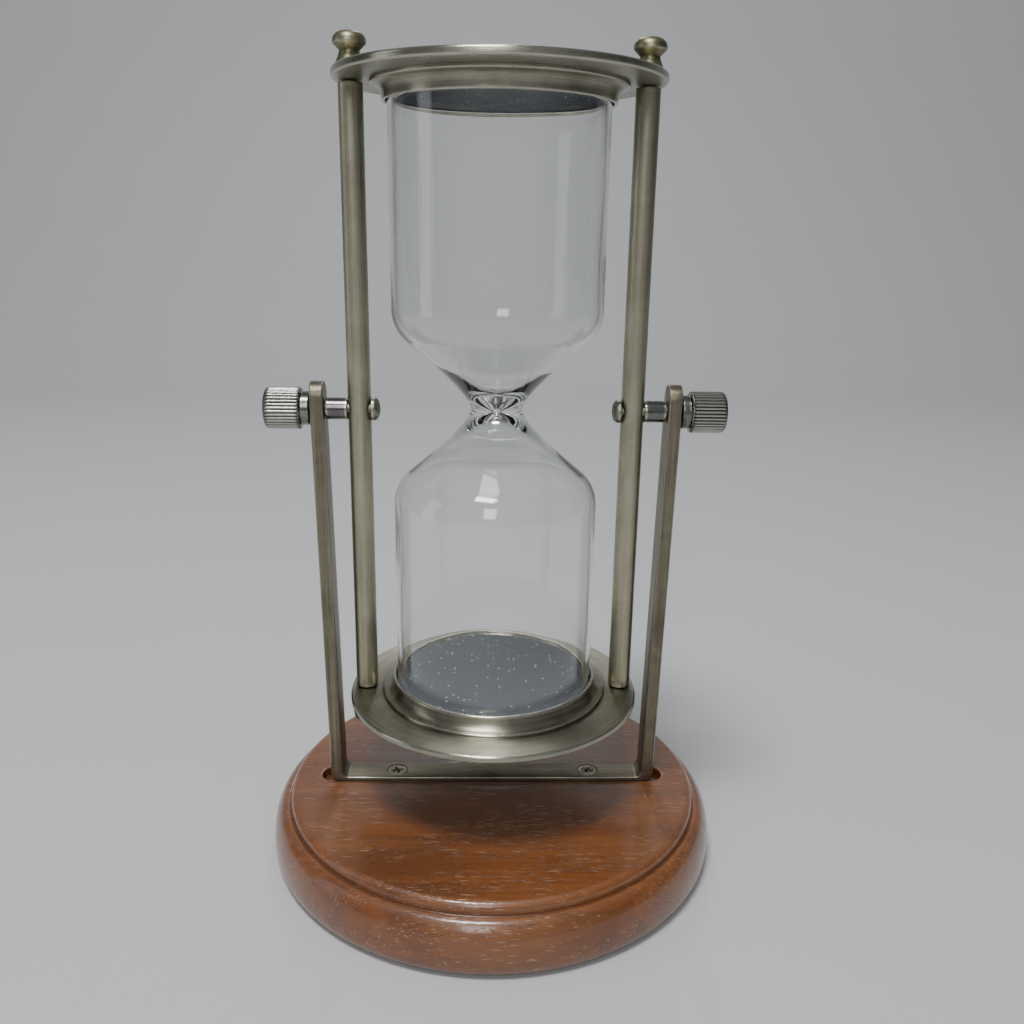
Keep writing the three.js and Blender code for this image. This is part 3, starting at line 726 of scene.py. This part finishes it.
def make_glass():
    """One closed surface: up the outside, over a fire-rounded rim, down the inside and round
    the lower rim. Blown walls are never quite true, so both surfaces wander a little."""
    end = PLATE_REACH - 4.3 - 0.6
    outer = both_bulbs(bulb_line(end, 0, 7.85, (19.4, 13.8), (12.9, 7.8), 2.8))
    inner = both_bulbs(bulb_line(end, 1.5, 1.1, (17.2, 13.2), (4.0, 2.0), 1.6))
    half = np.linspace(0, math.pi, 12)[1:-1]
    rim = np.stack([30.65 + 0.75 * np.cos(half), end + 0.6 * np.sin(half)], 1)
    foot = np.stack([30.65 - 0.75 * np.cos(half), -end - 0.6 * np.sin(half)], 1)
    outline = np.concatenate([outer, rim, inner[::-1], foot])
    inside = (np.arange(len(outline)) >= len(outer) + 5)[:, None]

    def shift(angle, radius, height):
        calm = np.clip((radius - 4) / 12, 0, 1) * np.clip((85 - np.abs(height)) / 12, 0, 1)
        slow = np.sin(3 * angle + height / 9.0) + np.sin(2 * angle - height / 14.0 + 1.7)
        ripple = np.sin(height / 1.9 + 2 * np.sin(angle))
        return calm * np.where(inside, 0.05 * slow + 0.012 * ripple, -0.03 * (slow + 2)), 0

    mesh = turned("glass", outline, (0, 0, AXIS_HEIGHT), "Z", 200, loop=True, shift=shift)
    piece = settle("glass_bulb", [mesh], blown_glass(), 60)
    return stand_for(piece, "glass_bulb", "frame")


def make_pads(rubber):
    for node in ("end_pad_bottom", "end_pad_top"):
        low, high = extent(node)
        radius = high[0]
        outline = refine(fillet([
            (0, low[2], 0), (radius, low[2], 0.3), (radius, high[2], 0.3), (0, high[2], 0)]), 2.0)
        piece = settle(node, [turned(node, outline, sides=180)], rubber)
        stand_for(piece, node, "frame")


def make_axis_parts(steel):
    """Pan-head pivot screws through the posts, and smooth sleeves between post and bracket."""
    for hand, side in (("left", -1), ("right", 1)):
        t = np.linspace(1, 0, 40)[:, None]
        dome = np.concatenate([3.6 * t, 0.5 + 1.9 * np.sqrt(1 - t**2.6)], 1)
        outline = np.concatenate([
            refine(fillet([(0, -28.3, 0), (1.9, -28.3, 0.3), (1.9, 0, 0), (3.6, 0, 0.1),
                           (3.6, 0.5, 0)]), 1.5), dome[1:]])
        mesh = screw_head("pivot_screw", outline, 1.9, 1.1)
        spin = Matrix.Rotation(0.6 if hand == "left" else 0.15, 4, "Z")
        tip = Matrix.Rotation(-side * math.pi / 2, 4, "Y")
        spot = Matrix.Translation(Vector((side * 37.7, 0, AXIS_HEIGHT)) * MM)
        finish = brass(f"pivot_screw_brass_{hand}", "X", (0, 0, AXIS_HEIGHT * MM),
                       dark=(0.1, 0.095, 0.065), light=(0.3, 0.285, 0.21))
        mesh = place_mesh(mesh, spot @ tip @ spin)
        piece = settle(f"pivot_screw_{hand}", [mesh], finish, 30)
        stand_for(piece, f"pivot_screw_{hand}", "frame")

        low, high = extent(f"spacer_sleeve_{hand}")
        near, far = (low[0], high[0] + 0.25) if side < 0 else (low[0] - 0.25, high[0])
        tube = fillet([(2.2, far, 0), (2.2, near, 0.1), (3.3, near, 0.12),
                       (3.3, far, 0.12), (2.25, far, 0)])
        mesh = turned("sleeve", refine(tube, 1.0), (0, 0, AXIS_HEIGHT), "X", 96, loop=True)
        piece = settle(f"spacer_sleeve_{hand}", [mesh], steel)
        stand_for(piece, f"spacer_sleeve_{hand}", "frame")


def make_nuts(steel):
    """Each nut is turned about X: a plain collar, then a barrel with 36 straight ridges that
    fade out at its bevelled inner edge and its domed end."""
    for hand, side in (("left", -1), ("right", 1)):
        collar = fillet([(2.2, 56.3, 0), (5.1, 56.3, 0.25), (5.1, 58.7, 0.3), (5.5, 58.9, 0),
                         (5.9, 58.9, 0.1), (6.3, 59.4, 0.3), (6.3, 60.2, 0)])
        barrel = np.stack([np.full(9, 6.3), np.linspace(60.2, 68.3, 10)[1:]], 1)
        end = bezier((6.3, 68.3), (6.25, 69.4), (5.6, 69.75), (4.6, 69.85), 14)
        end = np.concatenate([end, bezier((4.6, 69.85), (3.0, 70.05), (1.5, 70.1), (0, 70.1), 12)])
        bore = np.array([[0, 66.6], [2.2, 66.6]])
        outline = np.concatenate([collar, barrel, end])
        outline = np.concatenate([bore, [[2.2, 62.0]], refine(outline, 0.8)])
        reach = np.clip((outline[:, 1] - 59.0) / 0.5, 0, 1) * np.clip((69.6 - outline[:, 1]), 0, 1)
        reach = (reach * (outline[:, 0] > 5.2))[:, None]
        crest = np.arange(360) * TURN / 360 * 36

        def shift(angle, radius, height):
            groove = 1 - np.abs(np.cos(crest[None] / 2)) ** 0.9
            return -0.42 * reach * groove, 0

        axis = "X" if side > 0 else "-X"
        mesh = turned("nut", outline, (0, 0, AXIS_HEIGHT), axis, 360, shift=shift)
        layer = mesh.attributes["wear_and_painted_light"]
        place = np.empty(len(mesh.vertices) * 3, np.float32)
        mesh.vertices.foreach_get("co", place)
        place = place.reshape(-1, 3) / MM - np.array([0, 0, AXIS_HEIGHT])
        radius = np.hypot(place[:, 1], place[:, 2])
        length = np.abs(place[:, 0])
        ridged = (length > 59.6) & (length < 69.0) & (radius > 5.7)
        # Painted light: +1 on the ridge crests is a painted highlight; -1 in the grooves and -0.15
        # on the collar beside the bracket are painted shade.
        wear_and_light_values = np.where(ridged, np.clip((radius - 6.08) / 0.2, -1, 1), 0)
        wear_and_light_values = np.where(~ridged & (length < 58.9) & (radius < 5.4), -0.15, wear_and_light_values)
        layer.data.foreach_set("value", wear_and_light_values.astype(np.float32))
        piece = settle(f"knurled_nut_{hand}", [mesh], steel, 50)
        stand_for(piece, f"knurled_nut_{hand}", f"nut_{hand}")


# ---------------------------------------------------------------- room, lamps and camera


def make_room():
    """A pale floor that curves up into a plain wall behind."""
    run = [(-1.6, 0)] + [(0.9 + 0.5 * math.sin(a), 0.5 - 0.5 * math.cos(a))
                         for a in np.linspace(0, math.pi / 2, 24)] + [(1.4, 3.0)]
    points = [(x, y, z) for y, z in run for x in (-3.0, 3.0)]
    faces = [(2 * i, 2 * i + 1, 2 * i + 3, 2 * i + 2) for i in range(len(run) - 1)]
    mesh = bpy.data.meshes.new("room")
    mesh.from_pydata(points, [], faces)
    mesh.shade_smooth()
    mesh.materials.append(plain("room_paint", (0.6, 0.605, 0.61), 0.7))
    room = bpy.data.objects.new("room", mesh)
    bpy.context.scene.collection.objects.link(room)


def lamp(name, place, aim, size, power, colour=(1, 1, 1)):
    light = bpy.data.lights.new(name, "AREA")
    light.shape = "RECTANGLE"
    light.size, light.size_y = size
    light.energy = power
    light.color = colour
    thing = bpy.data.objects.new(name, light)
    bpy.context.scene.collection.objects.link(thing)
    thing.location = place
    heading = Vector(aim) - Vector(place)
    thing.rotation_euler = heading.to_track_quat("-Z", "Y").to_euler()
    return thing


def make_lamps():
    """A ceiling panel a little in front gives the shadow under the frame, a window behind the
    viewer the long highlights, a far panel the streak on the plates, and a left wall fills in.
    The air is darker to both sides."""
    lamp("ceiling_panel", (-0.2, -0.42, 1.5), (0, 0, 0.1), (0.42, 0.3), 16.5)
    lamp("window", (-0.18, -1.35, 1.0), (0, 0, 0.1), (0.36, 0.85), 6.5, (0.96, 0.98, 1))
    lamp("far_panel", (0.0, 1.0, 1.0), (0, 0, 0.06), (0.08, 0.6), 1.7)
    lamp("left_wall", (-1.3, -0.2, 0.5), (0, 0, 0.12), (0.4, 1.1), 1.5, (0.93, 0.97, 1))
    world = bpy.data.worlds.new("air")
    world.use_nodes = True
    tree = world.node_tree
    heading = tree.nodes.new("ShaderNodeTexCoord").outputs["Generated"]
    split = tree.nodes.new("ShaderNodeSeparateXYZ")
    tree.links.new(heading, split.inputs[0])
    fade = tree.nodes.new("ShaderNodeMapRange")
    for socket, value in ((1, 0.55), (2, 0.97), (3, 0.42), (4, 0.1)):
        fade.inputs[socket].default_value = value
    aside = tree.nodes.new("ShaderNodeMath")
    aside.operation = "ABSOLUTE"
    tree.links.new(split.outputs["X"], aside.inputs[0])
    tree.links.new(aside.outputs[0], fade.inputs["Value"])
    back = tree.nodes["Background"]
    back.inputs["Color"].default_value = (0.62, 0.65, 0.68, 1)
    tree.links.new(fade.outputs[0], back.inputs["Strength"])
    bpy.context.scene.world = world


def make_camera():
    lens = bpy.data.cameras.new("camera")
    lens.sensor_width = 36
    lens.lens = CAMERA_LENS
    eye = bpy.data.objects.new("camera", lens)
    bpy.context.scene.collection.objects.link(eye)
    yaw, pitch, roll = (math.radians(a) for a in CAMERA_TURN)
    forward = Vector((math.sin(yaw) * math.cos(pitch), math.cos(yaw) * math.cos(pitch),
                      -math.sin(pitch)))
    level = Vector((math.cos(yaw), -math.sin(yaw), 0))
    rise = level.cross(forward)
    right = math.cos(roll) * level + math.sin(roll) * rise
    up = -math.sin(roll) * level + math.cos(roll) * rise
    turn = Matrix((right, up, -forward)).transposed()
    eye.matrix_world = Matrix.Translation(Vector(CAMERA_PLACE) * MM) @ turn.to_4x4()
    bpy.context.scene.camera = eye


WAIST_RISE = 0.4
PLATE_REACH = extent("end_plate_top")[1][2] - 2.3 - AXIS_HEIGHT
CAMERA_PLACE = (-3.55, -290.46, 198.02)
CAMERA_TURN = (1.727, 16.253, 0.914)
CAMERA_LENS = 33.88

nickel = dark_nickel("dark_nickel", (0, 0, AXIS_HEIGHT * MM))
smooth_nickel = dark_nickel("smooth_nickel", (0, 0, AXIS_HEIGHT * MM),
                            dark=(0.13, 0.127, 0.118), light=(0.19, 0.186, 0.172))
screw_steel = brass("bronzed_screws", "Z", (0, 0, 0), dark=(0.05, 0.04, 0.03),
                    light=(0.3, 0.26, 0.2))

make_felt()
make_wooden_base()
make_bracket()
make_bracket_screws(screw_steel)
make_posts()
make_plates()
make_finials()
make_glass()
make_pads(dusty_rubber())
make_axis_parts(smooth_nickel)
make_nuts(nickel)
make_room()
make_lamps()
make_camera()

bpy.context.view_layer.update()
